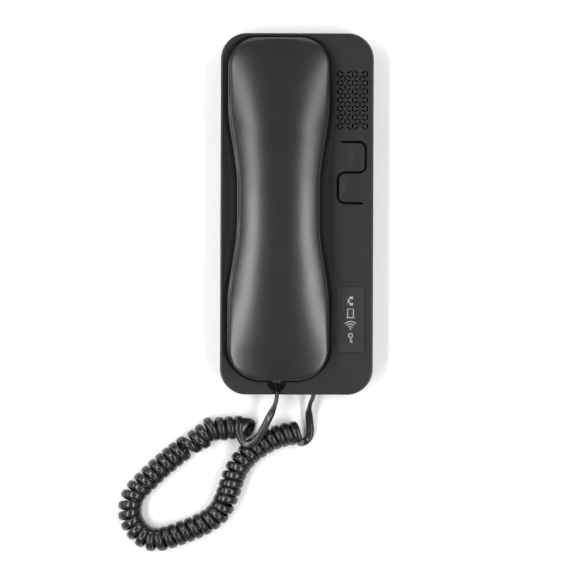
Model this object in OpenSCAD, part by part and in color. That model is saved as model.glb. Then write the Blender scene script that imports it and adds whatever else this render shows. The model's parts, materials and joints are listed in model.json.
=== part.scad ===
// Slim door-entry handset station: a wall base with a call speaker, two push
// buttons and a label, and a lift-off handset on a curly cord.
// It lies on its back: the wall side is z = 0, +Z points out of its face and
// +Y towards its top end. The origin is the centre of the base's back.

/* [Base] */
// Width of the base
base_w = 84.6; // [84.2:0.2:85.4]
// Length of the base
base_l = 200; // [199.6:0.2:201]
// Thickness of the base
base_t = 20; // [19.8:0.1:20.4]
// Corner radius of the base seen from the front
corner_r = 14.4; // [12:0.2:16]
// Thickness of the cover's side walls
wall_t = 2; // [1.8:0.1:2.2]
// Thickness of the cover's face
face_t = 2.6; // [2.4:0.1:2.8]
// Thickness of the back plate
plate_t = 2.4; // [2:0.1:2.6]
// Depth of the cradle recess around the handset
recess_d = 1; // [0.6:0.1:1]

/* [Handset] */
// Distance of the handset's centre line from the base's centre line
handset_x = -10.2; // [-10.4:0.1:-10]
// Top end of the handset
handset_top = 97.5; // [97:0.1:98]
// Bottom end of the handset
handset_bottom = -92; // [-92.4:0.1:-91.8]
// Half width at the ear and mouth ends
lobe_half = 27.85; // [27.4:0.05:28.2]
// Half width of the grip
waist_half = 22.6; // [22:0.1:24]
// Height of the crown above the wall
crown_z = 44; // [43:0.2:46]
// Fall of the crown towards the ends
crown_drop = 10; // [8:0.5:11]
// Fall of the outer shell from its crown to its sides at the waist
waist_fall = 3.85; // [3.4:0.05:4.4]
// The same fall at the ear end
ear_fall = 5.05; // [4.4:0.05:5.6]
// The same fall at the mouth end
mouth_fall = 4.4; // [3.8:0.05:5]
// Height of the seam between the two shells at mid length
seam_z = 27; // [26.8:0.1:27.4]
// Radius of the bow of the seam, seen from the side
seam_r = 900; // [880:10:960]
// Thickness of the outer shell
shell_t = 2.2; // [1.8:0.1:2.4]
// Step from the inner shell's edge to the outer shell
rim_step = 0.45; // [0.3:0.05:0.6]

/* [Cradle] */
// Ear cup and well centre
ear_y = 70; // [69:0.5:70]
// Radius of the ear well
ear_well_r = 23.5; // [23:0.1:24]
// Mouth cup and well centre
mouth_y = -62; // [-62.5:0.5:-61]
// Radius of the mouth well
mouth_well_r = 20; // [19.5:0.1:20.2]
// Height of the floor of both wells
well_z = 12.6; // [12.2:0.1:12.8]
// Gap between a cup and its well
cup_gap = 1.1; // [0.8:0.1:1.3]
// Hook plunger centre
hook_y = 36.5; // [36:0.5:37]
// Travel of the hook plunger
hook_travel = 3; // [2:0.5:3]

/* [Buttons] */
// Centre line of the button, grille and label strip
strip_x = 30.3; // [30:0.1:30.6]
// Width of the groove around the tongues
groove_w = 1.27; // [1.1:0.05:1.4]
// Distance between the groove's long sides
groove_span = 15.4; // [15:0.1:15.8]
// Corner radius of the groove's centre line
groove_r = 3.8; // [3:0.1:4.2]
// Groove between the two tongues
tongue_mid_y = 22.95; // [22.5:0.05:23.4]
// Distance between the groove's cross runs
tongue_pitch = 17; // [16.6:0.1:17.2]
// Hinge line to the free side of a tongue
hinge_span = 11.6; // [11:0.1:12]
// Thickness of a tongue
tongue_t = 1.8; // [1.6:0.1:2]

/* [Grille and label] */
// Side of one triangle of the grille
grille_side = 4.74; // [4.6:0.02:4.8]
// Rows of triangles
grille_rows = 7; // [5:1:7]
// Columns of slots
grille_cols = 5; // [3:2:5]
// Centre height of the grille
grille_y = 63; // [62:0.5:64]
// Length of a grille slot
slot_l = 2.8; // [2:0.1:2.8]
// Width of a grille slot
slot_w = 0.8; // [0.5:0.05:0.8]
// Width of the label plate
label_w = 15.6; // [14:0.1:15.6]
// Length of the label plate
label_l = 36.2; // [34:0.1:36.4]
// Centre height of the label
label_y = -58.3; // [-59:0.1:-57]

/* [Wall fixing] */
// Distance between the two wall slots
slot_spacing = 140; // [120:5:140]
// Width of a wall slot
wall_slot_w = 4.6; // [4.2:0.1:5]
// Length of a wall slot
wall_slot_l = 10; // [8:0.5:12]

/* [Cord] */
// Width of a modular plug's body, across its contacts
plug_w = 7.5; // [7.3:0.1:7.6]
// Thickness of a modular plug's body
plug_h = 6.4; // [6.2:0.1:6.5]
// Outside diameter of the curly cord
coil_d = 13; // [12.6:0.1:13]
// Radius of a plain lead
lead_r = 1.7; // [1.5:0.1:1.8]

/* [Hidden] */
$fn = 96;
eps = 0.5;            // overshoot of a cut
fit = 0.1;            // gap between pieces that sit in each other
run = 0.08;           // radial gap of a sliding stem

ceiling_z = base_t - face_t;
recess_z = base_t - recess_d;
recess_side = 4.1;    // recess beyond the handset at its ear and mouth ends
recess_more = 2.8;    // and so much more at its waist
recess_end = 1.1;     // recess past the handset's ends
recess_left = -41;    // where the recess stops short of the left edge
floor_t = 1.8;        // wall of the wells and the cord pocket
inner_w = base_w - 2 * wall_t;
inner_l = base_l - 2 * wall_t;

// Handset outline: a waist that swells into two lobes with round corners
waist_y = 5;
waist_flat = 10;
waist_ramp = 46;
top_r = 16.5;
bottom_r = 18;
seam_mid_y = (handset_top + handset_bottom) / 2;
crown_reach = 85;
fall_power = 2.2;     // power of the distance from the centre line, by which the shell falls
end_reach = 47;       // within this distance of an end the fall shrinks
end_fall = 0.7;       // and at the end it has lost this share
cup_r = ear_well_r - cup_gap;
mouth_cup_r = mouth_well_r - cup_gap;
cup_z = well_z + 1.6;
cup_wall = 1.8;
inner_t = 2;          // plate thickness of the handset's inner shell
lip_gap = 0.7;        // the outer shell leans in a little above its seam
grip_screw_y = 30;
receiver_r = 17.6;
receiver_neck_r = 11;
gasket_t = 1;
microphone_r = 4.85;
boot_r = 6.6;
sound_ring = 4.2;     // pitch of the rings of sound holes
sound_r = 1;

// Cord pocket and the handset's jack
jack_x = -10.7;
jack_wall = 1.6;
pocket_w = 10.8;
pocket_end = -98.3;
pocket_z = 10;
saddle_w = 4.4;
saddle_z = 16.6;
plug_l = 11;
handset_plug_z = 15.95;
handset_plug_end = -93.5;
handset_jack_top = 22;

// Base jack on the circuit board
board_z = 3.6;
board_t = 1.6;
board_top = board_z + board_t;
base_jack_x = 9.8;
base_plug_end = -99.7;
base_plug_z = board_top + jack_wall + fit + plug_w / 2;

// Circuit board, its screws and what stands on it
board_outline = [[-22, -48], [2, -48], [2, -96], [20, -96], [20, -48], [39, -48], [39, 52], [-22, 52]];
board_screw_at = [[-18, 48], [35, 48], [35, -44], [-18, -44]];
post_r = 3.2;
case_screw_x = 24;
case_screw_z = 8;
catch_x = 22;         // the plate's two hooks in the cover's top wall
catch_half = 5;
catch_z = [6, 8];
terminal_at = [-16.5, 0];
terminal_pitch = 5.08;
terminals = 5;
terminal_w = 9;
terminal_h = 8;
terminal_seat = 3.5;  // floor of the screw holes above the board
capacitor_r = 3.15;
capacitor_h = 7;

// Speaker, a racetrack shape behind the grille
speaker_at = [29.8, grille_y];
speaker_w = 19.6;
speaker_l = 34;
speaker_z = [10.5, 16.9];
speaker_ear = 19.4;   // ear screw to speaker centre
ear_z = 13.9;         // underside of the frame's ears
ear_t = 1.5;
press_t = 0.8;        // wall of the pressed frame
magnet_r = 7.5;
magnet_z = 6.6;
ear_boss_r = 2.4;
ear_boss_h = 1.9;

// Tongues: hinge lines, switches and free sides
hinge_clear = 0.1;
groove_past = 1.7;    // how far an outer groove runs past its hinge line
groove_left = strip_x - groove_span / 2;
groove_right = strip_x + groove_span / 2;
upper_hinge_x = groove_right - hinge_span;
lower_hinge_x = groove_left + hinge_span;
switch_arm = 6.6;
upper_switch_x = upper_hinge_x + switch_arm;
lower_switch_x = lower_hinge_x - switch_arm;
upper_y = tongue_mid_y + tongue_pitch / 2;
lower_y = tongue_mid_y - tongue_pitch / 2;
switch_top = 8.7;
stem_gap = 0.15;
plunger_top = 9.4;

// Hook plunger: its foot, the underside of its collar and its top
hook_x = handset_x;
hook_low = board_top + 2.3;
collar_t = 1;
hook_collar = ceiling_z - hook_travel - collar_t - 0.4;
hook_high = 21.9;
stem_r = 2.5;
spring_r = 3.7;
spring_wire_r = 0.35;

// Routes, chosen by hand. The handset lead leaves the plug, passes over the
// base's rim and meets the coil; the base lead drops to the coil's other end.
handset_lead_route = [
    [-10.7, -93.5, 15.95], [-10.6, -96.3, 17.2], [-10.6, -99.3, 19.4],
    [-11.1, -103.5, 19.4], [-13, -109, 18], [-15.5, -114, 16.8],
    [-18.5, -119, 15.8], [-21.5, -123, 15], [-25, -123.5, 13.2],
    [-27.6, -121.5, 11], [-30, -120.5, 9.5],
];
base_lead_route = [
    [9.8, -99.7, 10.65], [9.6, -102, 10.5], [8.4, -105.5, 9.2],
    [7.4, -109.5, 7], [7.1, -114, 5], [7.6, -119, 3.6],
    [7, -123, 2.8], [4.5, -124.8, 2.8], [1.5, -124.6, 3.2],
];
coil_route = [
    [-30, -118.5], [-39, -119.5], [-47, -120.5], [-53, -125], [-60, -129],
    [-67, -134], [-74.5, -140], [-81.5, -147], [-88, -154.5], [-91.5, -161],
    [-91.5, -168], [-88.5, -175], [-82, -180.5], [-75, -180.5], [-66, -178],
    [-57, -175], [-49, -171], [-43, -166.5], [-39.5, -160], [-36.5, -152],
    [-34, -144], [-29.5, -137], [-22.5, -130.5], [-15, -126], [-7, -123],
    [1.5, -121.5],
];

cover_colour = [0.2, 0.2, 0.21];
dark_colour = [0.12, 0.12, 0.13];
steel_colour = [0.72, 0.72, 0.74];
board_colour = [0.05, 0.07, 0.06];

// ---- Curves and outlines ----

function smooth(t) = let (c = min(max(t, 0), 1)) c * c * (3 - 2 * c);

// Half width of the handset before its corners are rounded
function lobe_share(y) = smooth((abs(y - waist_y) - waist_flat) / waist_ramp);
function body_half(y) = waist_half + (lobe_half - waist_half) * lobe_share(y);

// Height of the seam between the handset's shells
function seam(y) = seam_z - seam_r + sqrt(seam_r * seam_r - pow(y - seam_mid_y, 2));

// Height of the handset's crown before its ends round down
function crown(y) = crown_z - crown_drop * pow((y - seam_mid_y) / crown_reach, 2);

// Rows of [y, half width] from the bottom end to the top end, drawn in by the
// two insets at the sides and the ends, and let out by some more at the waist
function rows(side, end = undef, more = 0, step = 9) =
    let (
        e = end == undef ? side : end,
        low = handset_bottom + e,
        high = handset_top - e,
        rb = bottom_r - e,
        rt = top_r - e,
        y0 = low + rb,
        y1 = high - rt,
        n = 16
    )
    concat(
        [for (a = [90:-step:0]) let (y = low + rb * (1 - sin(a)))
            [y, body_half(y) - side - rb * (1 - cos(a))]],
        [for (k = [1:n - 1]) let (y = y0 + (y1 - y0) * k / n)
            [y, body_half(y) - side + more * (1 - lobe_share(y))]],
        [for (a = [0:step:90]) let (y = high - rt * (1 - sin(a)))
            [y, body_half(y) - side - rt * (1 - cos(a))]]
    );

module handset_outline(side, end = undef, more = 0) {
    r = rows(side, end, more);
    n = len(r);
    polygon(concat(
        [for (k = [0:n - 1]) [handset_x + r[k][1], r[k][0]]],
        [for (k = [n - 1:-1:0]) [handset_x - r[k][1], r[k][0]]]
    ));
}

// A slab that follows the seam's bow, from low to high above the seam
module seam_band(low, high) {
    translate([-60, 0, 0]) rotate([90, 0, 90]) linear_extrude(120) intersection() {
        difference() {
            translate([seam_mid_y, seam_z - seam_r]) circle(r = seam_r + high, $fn = 720);
            translate([seam_mid_y, seam_z - seam_r]) circle(r = seam_r + low, $fn = 720);
        }
        translate([-110, -20]) square([220, 80]);
    }
}

// Rectangle with round corners, centred
module round_rect(w, l, r) {
    square([w - 2 * r, l], center = true);
    square([w, l - 2 * r], center = true);
    for (sx = [-1, 1], sy = [-1, 1]) translate([sx * (w / 2 - r), sy * (l / 2 - r)]) circle(r);
}

module round_plate(w, l, r, h) {
    linear_extrude(h) round_rect(w, l, r);
}

// Rectangle with half-round ends along Y, centred
module racetrack(w, l) {
    square([w, l - w], center = true);
    for (s = [-1, 1]) translate([0, s * (l - w) / 2]) circle(w / 2);
}

// A screw that points down from its head's underside at z = 0
module screw(head_r, head_h, shank_r, length) {
    cylinder(r = head_r, h = head_h, $fn = 48);
    translate([0, 0, -length]) cylinder(r = shank_r, h = length, $fn = 48);
}

// Smooth curve through points: Catmull-Rom, n steps for each span
function blend_point(p0, p1, p2, p3, t) =
    0.5 * (2 * p1 + (p2 - p0) * t + (2 * p0 - 5 * p1 + 4 * p2 - p3) * t * t
        + (3 * p1 - p0 - 3 * p2 + p3) * t * t * t);
function curve(p, n) = let (last = len(p) - 1) concat(
    [for (i = [0:last - 1], k = [0:n - 1])
        blend_point(p[max(i - 1, 0)], p[i], p[i + 1], p[min(i + 2, last)], k / n)],
    [p[last]]
);
function unit(v) = v / norm(v);

// A closed round tube along points, none of whose spans is upright. Its end
// faces look along first and last, where these are given
module tube(p, r, sides, first = undef, last = undef) {
    n = len(p);
    ring = [for (i = [0:n - 1])
        let (
            given = i == 0 ? first : i == n - 1 ? last : undef,
            ahead = given == undef ? unit(p[min(i + 1, n - 1)] - p[max(i - 1, 0)]) : given,
            side = unit(cross([0, 0, 1], ahead)),
            up = cross(ahead, side)
        )
        for (k = [0:sides - 1]) p[i] + r * (cos(360 * k / sides) * up + sin(360 * k / sides) * side)];
    faces = concat(
        [for (i = [0:n - 2], k = [0:sides - 1])
            [i * sides + k, i * sides + (k + 1) % sides, (i + 1) * sides + (k + 1) % sides]],
        [for (i = [0:n - 2], k = [0:sides - 1])
            [i * sides + k, (i + 1) * sides + (k + 1) % sides, (i + 1) * sides + k]],
        [[for (k = [sides - 1:-1:0]) k]],
        [[for (k = [0:sides - 1]) (n - 1) * sides + k]]
    );
    polyhedron(points = ring, faces = faces, convexity = 10);
}

// ---- Base ----

// The two tongues' shape, square at the hinge line and round at the free
// side, grown by g on every side but the hinge line
module tongue_shape(hinge_x, free, y_mid, g) {
    reach = hinge_span - groove_w / 2 + g;
    tall = tongue_pitch - groove_w + 2 * g;
    r = groove_r - groove_w / 2 + g;
    translate([hinge_x, y_mid]) mirror([free < 0 ? 1 : 0, 0]) {
        translate([0, -tall / 2]) square([reach - r, tall]);
        translate([0, -tall / 2 + r]) square([reach, tall - 2 * r]);
        for (s = [-1, 1]) translate([reach - r, s * (tall / 2 - r)]) circle(r, $fn = 48);
    }
}

// Straight groove end that runs past a hinge line
module groove_run(x0, x1, y) {
    translate([x0, y - groove_w / 2]) square([x1 - x0, groove_w]);
    for (x = [x0, x1]) translate([x, y]) circle(groove_w / 2, $fn = 48);
}

module button_window() {
    tongue_shape(upper_hinge_x, 1, upper_y, groove_w);
    tongue_shape(lower_hinge_x, -1, lower_y, groove_w);
    groove_run(upper_hinge_x - groove_past, upper_hinge_x + 1, tongue_mid_y + tongue_pitch);
    groove_run(lower_hinge_x - 1, lower_hinge_x + groove_past, tongue_mid_y - tongue_pitch);
}

// One grille slot along an edge of the triangle pattern
module grille_slot(x, y, turn) {
    translate([x, y]) rotate(turn) square([slot_w, slot_l], center = true);
}

// Slots on the edges of a pattern of triangles: upright ones in each column,
// slanted ones between columns, alternate columns shifted by half a side
module grille() {
    pitch = grille_side * sqrt(3) / 2;
    for (c = [0:grille_cols - 1]) {
        x = strip_x + 0.3 + (c - (grille_cols - 1) / 2) * pitch;
        count = c % 2 == 0 ? grille_rows : grille_rows - 1;
        for (k = [0:count - 1]) grille_slot(x, grille_y + (k - (count - 1) / 2) * grille_side, 0);
        if (c < grille_cols - 1) for (k = [0:grille_rows - 1], s = [-1, 1]) {
            y = grille_y + (k - (grille_rows - 1) / 2) * grille_side + s * grille_side / 4;
            grille_slot(x + pitch / 2, y, (c % 2 == 0 ? s : -s) * 60);
        }
    }
}

module well_wall(y, r) {
    translate([handset_x, y, well_z - floor_t])
        cylinder(r = r + floor_t, h = ceiling_z + eps - well_z + floor_t);
}

module box(x, y, z) {
    translate([x[0], y[0], z[0]]) cube([x[1] - x[0], y[1] - y[0], z[1] - z[0]]);
}

module front_cover() color(cover_colour) difference() {
    union() {
        difference() {
            round_plate(base_w, base_l, corner_r, base_t);
            translate([0, 0, -eps]) round_plate(inner_w, inner_l, corner_r - wall_t, ceiling_z + eps);
        }
        well_wall(ear_y, ear_well_r);
        well_wall(mouth_y, mouth_well_r);
        box([jack_x - pocket_w / 2 - floor_t, jack_x + pocket_w / 2 + floor_t],
            [pocket_end - 0.4, -78], [pocket_z - floor_t, ceiling_z + eps]);
        for (s = [-1, 1]) translate([speaker_at[0], speaker_at[1] + s * speaker_ear, ceiling_z - ear_boss_h])
            cylinder(r = ear_boss_r, h = ear_boss_h + eps, $fn = 48);
    }
    translate([0, 0, recess_z]) linear_extrude(recess_d + eps) intersection() {
        handset_outline(-recess_side, -recess_end, recess_more);
        translate([recess_left, -base_l / 2]) square([base_w, base_l]);
    }
    translate([handset_x, ear_y, well_z]) cylinder(r = ear_well_r, h = base_t);
    translate([handset_x, mouth_y, well_z]) cylinder(r = mouth_well_r, h = base_t);
    cord_pocket();
    translate([hook_x, hook_y, ceiling_z - eps]) cylinder(r = stem_r + run, h = face_t + 2 * eps, $fn = 48);
    translate([0, 0, ceiling_z - eps]) linear_extrude(face_t + 2 * eps) grille();
    translate([0, 0, ceiling_z - eps]) linear_extrude(face_t + 2 * eps) button_window();
    translate([strip_x - 0.4, label_y, base_t - 0.8]) round_plate(label_w + 0.2, label_l + 0.2, 1.2, 1);
    // port of the base jack and the holes of the case screws
    box([base_jack_x - plug_h / 2 - 0.4, base_jack_x + plug_h / 2 + 0.4],
        [-base_l / 2 - 1, -base_l / 2 + wall_t + 1],
        [base_plug_z - plug_w / 2 - 0.4, base_plug_z + plug_w / 2 + 0.4]);
    for (s = [-1, 1]) translate([s * case_screw_x, -base_l / 2 - 1, case_screw_z]) rotate([-90, 0, 0]) {
        cylinder(r = 1.6, h = wall_t + 2, $fn = 48);
        cylinder(r = 2.8, h = 2, $fn = 48);
    }
    // slots for the plate's hooks in the top wall
    for (s = [-1, 1]) box([s * catch_x - catch_half - 0.2, s * catch_x + catch_half + 0.2],
        [inner_l / 2 - eps, inner_l / 2 + 1.2], [catch_z[0] - 0.2, catch_z[1] + 0.2]);
    for (s = [-1, 1]) translate([speaker_at[0], speaker_at[1] + s * speaker_ear, ceiling_z - 2.5])
        cylinder(r = 0.9, h = 2.9, $fn = 32);
}

// Pocket behind the handset's plug: half-round at its front end, with a
// saddle through the rim for the cord
module cord_pocket() {
    translate([jack_x, pocket_end + pocket_w / 2, pocket_z]) cylinder(r = pocket_w / 2, h = base_t);
    box([jack_x - pocket_w / 2, jack_x + pocket_w / 2],
        [pocket_end + pocket_w / 2, -79.6], [pocket_z, base_t + eps]);
    box([jack_x - saddle_w / 2, jack_x + saddle_w / 2],
        [-base_l / 2 - 1, pocket_end + 2], [saddle_z, base_t + eps]);
}

module label_plate() color([0.26, 0.26, 0.28])
    translate([strip_x - 0.4, label_y, base_t - 0.8]) round_plate(label_w, label_l, 1.1, 0.6);

module wall_slot() {
    linear_extrude(plate_t + 2 * eps) racetrack(wall_slot_w, wall_slot_l);
}

module back_plate() color(dark_colour) difference() {
    union() {
        round_plate(inner_w - 0.4, inner_l - 0.4, corner_r - wall_t - 0.2, plate_t);
        for (p = board_screw_at) translate([p[0], p[1], 1]) cylinder(r = post_r, h = board_z - 1, $fn = 48);
        for (s = [-1, 1]) {
            box([s * case_screw_x - 4, s * case_screw_x + 4], [-inner_l / 2 + 0.2, -88], [1, 12.4]);
            box([s * catch_x - catch_half, s * catch_x + catch_half], [94, inner_l / 2 - 0.2], [1, catch_z[1]]);
            box([s * catch_x - catch_half, s * catch_x + catch_half], [95, inner_l / 2 + 1], catch_z);
        }
        box([4, 16], [-90, -88.5], [1, board_z]);
    }
    for (s = [-1, 1]) translate([-12, s * slot_spacing / 2, -eps]) wall_slot();
    box([-38, -24], [-12, 12], [-eps, plate_t + eps]);
    for (p = board_screw_at) translate([p[0], p[1], 0.6]) cylinder(r = 1.25, h = board_z, $fn = 48);
    for (s = [-1, 1]) translate([s * case_screw_x, -inner_l / 2, case_screw_z]) rotate([-90, 0, 0])
        cylinder(r = 1.5, h = 9, $fn = 48);
}

module case_screws() color(steel_colour)
    for (s = [-1, 1]) translate([s * case_screw_x, -base_l / 2 + 1, case_screw_z]) rotate([90, 0, 0])
        screw(2.6, 0.9, 1.45, 9.5);

module circuit_board() color(board_colour) difference() {
    translate([0, 0, board_z]) linear_extrude(board_t) polygon(board_outline);
    for (p = board_screw_at) translate([p[0], p[1], 0]) cylinder(r = 1.4, h = 10, $fn = 48);
}

module board_screws() color(steel_colour)
    for (p = board_screw_at) translate([p[0], p[1], board_top]) screw(2.3, 1.5, 1.2, 4.2);

module board_chips() color(dark_colour) {
    box([8, 18], [16, 23.5], [board_top, board_top + 2]);
    box([10, 20], [-26, -18.5], [board_top, board_top + 2]);
}

module board_capacitors() color([0.15, 0.2, 0.4])
    for (y = [-12, -2.5, 7]) translate([4, y, board_top]) cylinder(r = capacitor_r, h = capacitor_h, $fn = 64);

module terminal_block() color([0.15, 0.4, 0.25]) difference() {
    span = terminals * terminal_pitch + 1;
    translate([terminal_at[0] - terminal_w / 2, terminal_at[1] - span / 2, board_top])
        cube([terminal_w, span, terminal_h]);
    for (k = [0:terminals - 1]) {
        y = terminal_at[1] + (k - (terminals - 1) / 2) * terminal_pitch;
        translate([terminal_at[0], y, board_top + terminal_seat]) cylinder(r = 1.9, h = 6, $fn = 48);
        translate([terminal_at[0] - 6, y, board_top + 2.2]) rotate([0, 90, 0])
            cylinder(r = 1.25, h = 5, $fn = 48);
    }
}

module terminal_screws() color(steel_colour)
    for (k = [0:terminals - 1]) {
        y = terminal_at[1] + (k - (terminals - 1) / 2) * terminal_pitch;
        difference() {
            translate([terminal_at[0], y, board_top + terminal_seat]) cylinder(r = 1.8, h = 3.6, $fn = 48);
            translate([terminal_at[0] - 3, y - 0.3, board_top + 6.3]) cube([6, 0.6, 2]);
        }
    }

module speaker_frame() color(steel_colour) difference() {
    union() {
        translate([speaker_at[0], speaker_at[1], speaker_z[0]]) linear_extrude(speaker_z[1] - speaker_z[0])
            racetrack(speaker_w, speaker_l);
        for (s = [-1, 1]) translate([speaker_at[0], speaker_at[1] + s * (speaker_ear - 1), ear_z])
            round_plate(5, 7.6, 2.4, ear_t);
    }
    translate([speaker_at[0], speaker_at[1], speaker_z[0] + press_t]) linear_extrude(10)
        racetrack(speaker_w - 2 * press_t, speaker_l - 2 * press_t);
    for (s = [-1, 1]) translate([speaker_at[0], speaker_at[1] + s * speaker_ear, 10])
        cylinder(r = 1, h = 8, $fn = 32);
}

module speaker_cone() color([0.3, 0.3, 0.3]) {
    translate([speaker_at[0], speaker_at[1], 14.6]) linear_extrude(0.5)
        racetrack(speaker_w - 2 * press_t - 0.2, speaker_l - 2 * press_t - 0.2);
    translate([speaker_at[0], speaker_at[1], 11.5]) cylinder(r = 5, h = 3.3, $fn = 64);
}

module speaker_magnet() color(steel_colour)
    translate([speaker_at[0], speaker_at[1], magnet_z])
        cylinder(r = magnet_r, h = speaker_z[0] - magnet_z, $fn = 64);

module speaker_mesh() color(dark_colour)
    translate([speaker_at[0], speaker_at[1], speaker_z[1] + 0.05]) linear_extrude(0.4)
        racetrack(speaker_w, speaker_l);

module speaker_screws() color(steel_colour)
    for (s = [-1, 1]) translate([speaker_at[0], speaker_at[1] + s * speaker_ear, ear_z]) rotate([180, 0, 0])
        screw(1.8, 1.2, 0.85, 3.7);

module speaker_wires() color([0.7, 0.15, 0.12])
    for (s = [-1, 1]) tube(curve([
        [speaker_at[0] + 2 * s, 55, 8], [speaker_at[0] + 2 * s, 50, 7.6], [26 + 2 * s, 46.8, 6.6],
        [22 + 2 * s, 45.2, 6], [18 + 2 * s, 44.6, 5.9],
    ], 3), 0.6, 8);

module switch_body(x, y) color(dark_colour) difference() {
    translate([x - 3.1, y - 3.1, board_top]) cube([6.2, 6.2, switch_top - board_top]);
    translate([x, y, switch_top - 2.4]) cylinder(r = 1.75 + run, h = 5, $fn = 48);
}

module switch_plunger(x, y) color([0.85, 0.84, 0.8])
    translate([x, y, switch_top - 1.6]) cylinder(r = 1.75, h = plunger_top - switch_top + 1.6, $fn = 48);

module upper_switch_body() switch_body(upper_switch_x, upper_y);
module lower_switch_body() switch_body(lower_switch_x, lower_y);
module upper_switch_plunger() switch_plunger(upper_switch_x, upper_y);
module lower_switch_plunger() switch_plunger(lower_switch_x, lower_y);

// A tongue plate with the stem that presses its switch
module button(hinge_x, free, y) color(cover_colour) {
    intersection() {
        translate([0, 0, base_t - tongue_t]) linear_extrude(tongue_t) tongue_shape(hinge_x, free, y, 0);
        translate([free > 0 ? hinge_x + hinge_clear : hinge_x - hinge_clear - 30, y - 20, 0]) cube([30, 40, 30]);
    }
    translate([hinge_x + free * switch_arm, y, plunger_top + stem_gap])
        cylinder(r = 1, h = base_t - tongue_t + 0.4 - plunger_top - stem_gap, $fn = 48);
}
module upper_button() button(upper_hinge_x, 1, upper_y);
module lower_button() button(lower_hinge_x, -1, lower_y);

module hook_switch() color(dark_colour) {
    translate([hook_x - 2.2, hook_y - 2.2, board_top]) cube([4.4, 4.4, 1.6]);
    translate([hook_x, hook_y, board_top + 1.4]) cylinder(r = 1.4, h = 0.8, $fn = 48);
}

module hook_plunger() color(cover_colour) translate([hook_x, hook_y, 0]) {
    translate([0, 0, hook_low]) cylinder(r = stem_r, h = hook_high - hook_low, $fn = 48);
    translate([0, 0, hook_collar]) cylinder(r = 4.5, h = collar_t, $fn = 64);
}

// Compression spring between the board and the plunger's collar
module hook_spring() color(steel_colour) {
    turns = 4.5;
    steps = 14;
    low = board_top + spring_wire_r + fit;
    high = hook_collar - spring_wire_r - fit;
    tube([for (k = [0:turns * steps]) let (a = 360 * k / steps, t = k / (turns * steps))
        [hook_x + spring_r * cos(a), hook_y + spring_r * sin(a), low + (high - low) * t]], spring_wire_r, 6);
}

// Modular jack body round a plug space that opens towards -Y
module jack(x, y, z, top) difference() {
    box([x - plug_h / 2 - jack_wall, x + plug_h / 2 + jack_wall], y, [z - plug_w / 2 - fit - jack_wall, top]);
    box([x - plug_h / 2 - fit, x + plug_h / 2 + fit], [y[0] - 1, y[1] - 1.2],
        [z - plug_w / 2 - fit, z + plug_w / 2 + fit]);
}

// Modular plug with its latch, narrower at the cord end
module plug(x, y_end, z) {
    box([x - plug_h / 2, x + plug_h / 2], [y_end + 3, y_end + plug_l], [z - plug_w / 2, z + plug_w / 2]);
    box([x - plug_h / 2 + 0.8, x + plug_h / 2 - 0.8],
        [y_end, y_end + 3.2], [z - plug_w / 2 + 0.9, z + plug_w / 2 - 0.9]);
}

module base_jack() color(dark_colour)
    jack(base_jack_x, [-97.9, -87.2], base_plug_z, base_plug_z + plug_w / 2 + fit + 1.2);
module base_plug() color([0.85, 0.87, 0.9, 0.6]) plug(base_jack_x, base_plug_end, base_plug_z);
module handset_jack() color(dark_colour)
    jack(jack_x, [-91.2, -81.2], handset_plug_z, handset_jack_top);
module handset_plug() color([0.85, 0.87, 0.9, 0.6]) plug(jack_x, handset_plug_end, handset_plug_z);

module handset_lead() color(dark_colour)
    tube(curve(handset_lead_route, 2), lead_r, 8, [0, -1, 0], [-1, 0, 0]);
module base_lead() color(dark_colour)
    tube(curve(base_lead_route, 2), lead_r, 8, [0, -1, 0], [-1, 0, 0]);
module curly_cord() color(dark_colour)
    tube([for (p = coil_route) [p[0], p[1], coil_d / 2]], coil_d / 2, 12, [-1, 0, 0], [1, 0, 0]);

// ---- Handset ----

// Fall of the outer shell from its crown to its sides at y
function fall(y, inset) =
    let (
        lobe_fall = y > waist_y ? ear_fall : mouth_fall,
        away = min(handset_top - inset - y, y - handset_bottom - inset)
    )
    (waist_fall + (lobe_fall - waist_fall) * lobe_share(y)) * (1 - end_fall * max(1 - away / end_reach, 0));

// Rows of points of a dome over the outline, u across from -1 to 1. It falls
// from its crown to the top of a steep wall that stands on the seam all round
function dome(inset, drop, across) =
    let (r = rows(inset), last = len(r) - 1)
    [for (i = [0:last]) let (y = r[i][0], top = crown(y) - seam(y) - drop)
        [for (k = [0:across])
            let (u = -cos(180 * k / across), on_wall_top = i > 0 && i < last && k > 0 && k < across)
            [
                handset_x + r[i][1] * u, y,
                seam(y) + 0.05 + (on_wall_top ? top - fall(y, inset) * pow(abs(u), fall_power) : 0),
            ]]];

// Shell between two domes with the same rows, closed along the seam
module dome_shell(outer, inner) {
    n = len(outer);
    m = len(outer[0]);
    points = concat([for (r = outer) each r], [for (r = inner) each r]);
    off = n * m;
    quads = [for (i = [0:n - 2], k = [0:m - 2]) [i * m + k, i * m + k + 1, (i + 1) * m + k + 1, (i + 1) * m + k]];
    edge = concat(
        [for (k = [0:m - 2]) [k, k + 1]],
        [for (i = [0:n - 2]) [i * m + m - 1, (i + 1) * m + m - 1]],
        [for (k = [m - 1:-1:1]) [(n - 1) * m + k, (n - 1) * m + k - 1]],
        [for (i = [n - 1:-1:1]) [i * m, (i - 1) * m]]
    );
    polyhedron(points = points, convexity = 10, faces = concat(
        [for (q = quads) [q[0], q[2], q[1]]],
        [for (q = quads) [q[0], q[3], q[2]]],
        [for (q = quads) [off + q[0], off + q[1], off + q[2]]],
        [for (q = quads) [off + q[0], off + q[2], off + q[3]]],
        [for (e = edge) [e[0], e[1], off + e[1]]],
        [for (e = edge) [e[0], off + e[1], off + e[0]]]
    ));
}

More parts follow.
